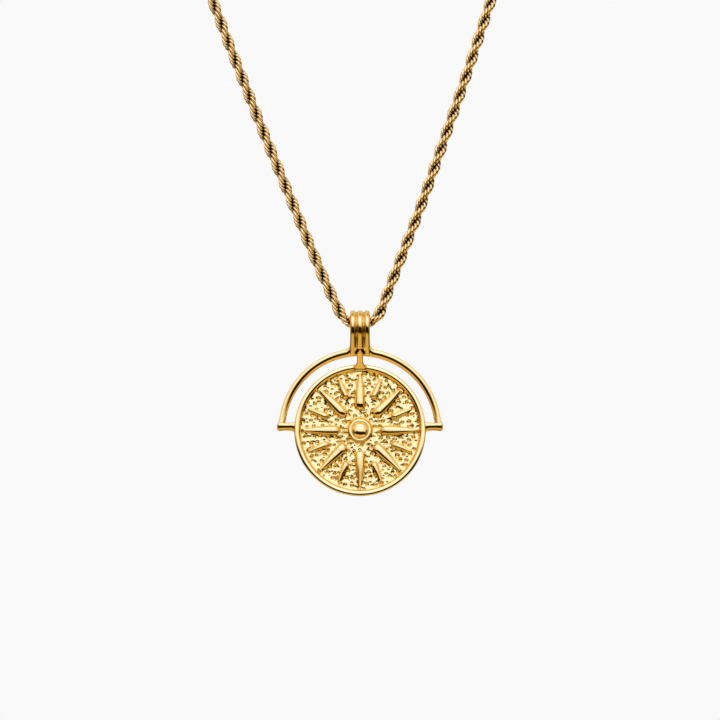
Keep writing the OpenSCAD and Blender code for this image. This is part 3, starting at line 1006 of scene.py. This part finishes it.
def chainStations(route, size):
    # A smooth curve through the route, walked in equal steps; at each step the heading, two sides square to
    # it, and the turn that undoes how far the sides before it have turned about the chain
    route = np.array(route, float)
    knots = np.concatenate([[0], np.cumsum(np.linalg.norm(np.diff(route, axis=0), axis=1))])
    fine = np.linspace(0, knots[-1], size["routeSteps"])
    line = np.stack([curveThrough(knots, route[:, k], fine) for k in range(3)], 1)
    walked = np.concatenate([[0], np.cumsum(np.linalg.norm(np.diff(line, axis=0), axis=1))])
    count = int((walked[-1] - 2 * size["along"]) / size["pitch"]) + 1
    start = (walked[-1] - (count - 1) * size["pitch"]) / 2
    at = start + np.arange(count) * size["pitch"]
    centre = np.stack([np.interp(at, walked, line[:, k]) for k in range(3)], 1)
    slope = np.gradient(line, walked, axis=0)
    heading = np.stack([np.interp(at, walked, slope[:, k]) for k in range(3)], 1)
    heading /= np.linalg.norm(heading, axis=1)[:, None]
    side = centre - np.array(size["loopMiddle"])
    side -= (side * heading).sum(1)[:, None] * heading
    side /= np.linalg.norm(side, axis=1)[:, None]
    other = np.cross(heading, side)
    drift = (np.diff(side, axis=0) * (other[:-1] + other[1:]) / 2).sum(1)
    twist = -np.concatenate([[0], np.cumsum(drift)])
    return centre, heading, side, other, twist


def ringMeshes(stations, first, last, seat, size):
    # Each ring is an oval wire whose plane holds the chain's line; ring k is turned by k times the rope's
    # turn, plus a phase that eases from the left arm's to the right arm's
    centre, heading, side, other, twist = [part[first:last] for part in stations]
    k = np.arange(first, last)
    met = ease((k - seat) / size["phaseRings"] + 0.5)
    phase = size["leftPhase"] + (size["rightPhase"] - size["leftPhase"]) * met
    turn = twist + np.radians(size["turn"] * k + phase)
    u = np.cos(turn)[:, None] * side + np.sin(turn)[:, None] * other
    v = np.cos(turn)[:, None] * other - np.sin(turn)[:, None] * side
    a, b = np.meshgrid(roundAngles(size["ringSides"]), roundAngles(size["wireSides"]), indexing="ij")
    a = a.ravel()
    b = b.ravel()
    half = size["wire"] / 2
    normalU = np.cos(a) / size["across"]
    normalW = np.sin(a) / size["along"]
    scale = np.hypot(normalU, normalW)
    inOrOut = half * np.where(np.cos(b) < 0, size["innerReach"], 1) * np.cos(b)
    across = size["across"] * np.cos(a) + inOrOut * normalU / scale
    along = size["along"] * np.sin(a) + inOrOut * normalW / scale
    swirl = size["swirl"] * np.radians(size["turn"]) / size["pitch"] * along
    out = half * np.sin(b) + across * np.sin(swirl)
    across = across * np.cos(swirl)
    points = centre[:, None, :] + across[None, :, None] * u[:, None, :]
    points = points + along[None, :, None] * heading[:, None, :] + out[None, :, None] * v[:, None, :]
    count = size["ringSides"] * size["wireSides"]
    one = gridFaces(size["ringSides"], size["wireSides"], closeRows=True)
    one = outward(points[0] - centre[0], one)
    faces = (one[None] + np.arange(last - first)[:, None, None] * count).reshape(-1, 4)
    # Painted shade: the wires darken towards the rope's core
    inside = (size["shadeFrom"] - np.hypot(across, out)) / size["shadeReach"]
    low = np.tile(unit(inside), last - first)
    return points.reshape(-1, 3), faces, low


def makeRope(size):
    stations = chainStations(ropeRoute, size)
    count = len(stations[0])
    middle = int(np.argmin(np.linalg.norm(stations[0] - np.array(bailSeat), axis=1)))
    for name, first, last in [("rope_links_left", 0, middle), ("rope_links_right", middle, count)]:
        points, faces, low = ringMeshes(stations, first, last, middle, size)
        piece = makePiece(name, points, faces, golds["wireGold"], "necklace", "chain_gold", ["rope_chain"])
        markPaintedShade(piece, low)
    print("rings", count)


makeRope(rope)

# Ends and clasp, behind the neck: two turned caps with round eyelets, hooked into one plain ring
napeEnds = {
    "height": 1.3,  # how far behind the nape's point the ends lie
    "capStart": 4.45,
    "capEnd": 8.9,
    "capRadius": 1.29,
    "capDome": 0.8,  # length of the round end at the eyelet
    "capLip": 0.18,  # and of the lip at the chain
    "lipDrop": 0.25,  # how much of the radius the lip rounds off
    "capGrooves": (5.7, 8.35),
    "grooveHalf": 0.1,
    "grooveDepth": 0.13,
    "capRows": 90,
    "capSides": 40,
    "eyeletMiddle": 3.23,
    "eyelet": (1.35, 0.39, 48, 16),  # radius, half the wire's thickness, sides round ring and wire
    "clasp": (3.0, 0.59, 72, 20),
}


def ringShell(middle, first, second, radius, wire, ringSides, wireSides):
    # A round wire bent into a circle: middle + (radius + wire cos b)(cos a first + sin a second), plus
    # wire sin b at right angles to both
    a = roundAngles(ringSides)[:, None, None]
    b = roundAngles(wireSides)[None, :, None]
    first = np.array(first, float)
    second = np.array(second, float)
    reach = radius + wire * np.cos(b)
    grid = np.array(middle) + reach * (np.cos(a) * first + np.sin(a) * second)
    grid = grid + wire * np.sin(b) * np.cross(first, second)
    return closedShell(grid, closeRows=True)


def capShell(size, sign):
    # A turned profile along X: a dome at the eyelet, two fine grooves and a rounded lip at the chain
    at = np.linspace(size["capStart"], size["capEnd"], size["capRows"])
    dome = quarterRound(np.clip((at - size["capStart"]) / size["capDome"], 0.002, 1))
    lip = quarterRound(np.clip((size["capEnd"] - at) / size["capLip"], 0.05, 1))
    grooves = sum(np.exp(-((at - middle) / size["grooveHalf"]) ** 2) for middle in size["capGrooves"])
    radius = size["capRadius"] * np.minimum(dome, 1 - size["lipDrop"] * (1 - lip))
    radius = radius - size["grooveDepth"] * grooves
    b = roundAngles(size["capSides"])
    y = size["height"] + radius[:, None] * np.cos(b)
    z = radius[:, None] * np.sin(b)
    return closedShell(np.stack([sign * at[:, None] + 0 * y, y, z], -1))


def makeNapeEnds(size):
    for name, node, sign in [("end_cap_left", "cap_left", -1), ("end_cap_right", "cap_right", 1)]:
        middle = (sign * size["eyeletMiddle"], size["height"], 0)
        eyelet = ringShell(middle, (1, 0, 0), (0, 1, 0), *size["eyelet"])
        points, faces = joinShells([capShell(size, sign), eyelet])
        makePiece(name, points, faces, golds["castGold"], "necklace", "chain_gold", [node])
    middle = (0, size["height"], 0)
    points, faces = ringShell(middle, (1, 0, 0), (0, 0, 1), *size["clasp"])
    makePiece("ring_clasp", points, faces, golds["castGold"], "necklace", "chain_gold", ["clasp"])


makeNapeEnds(napeEnds)
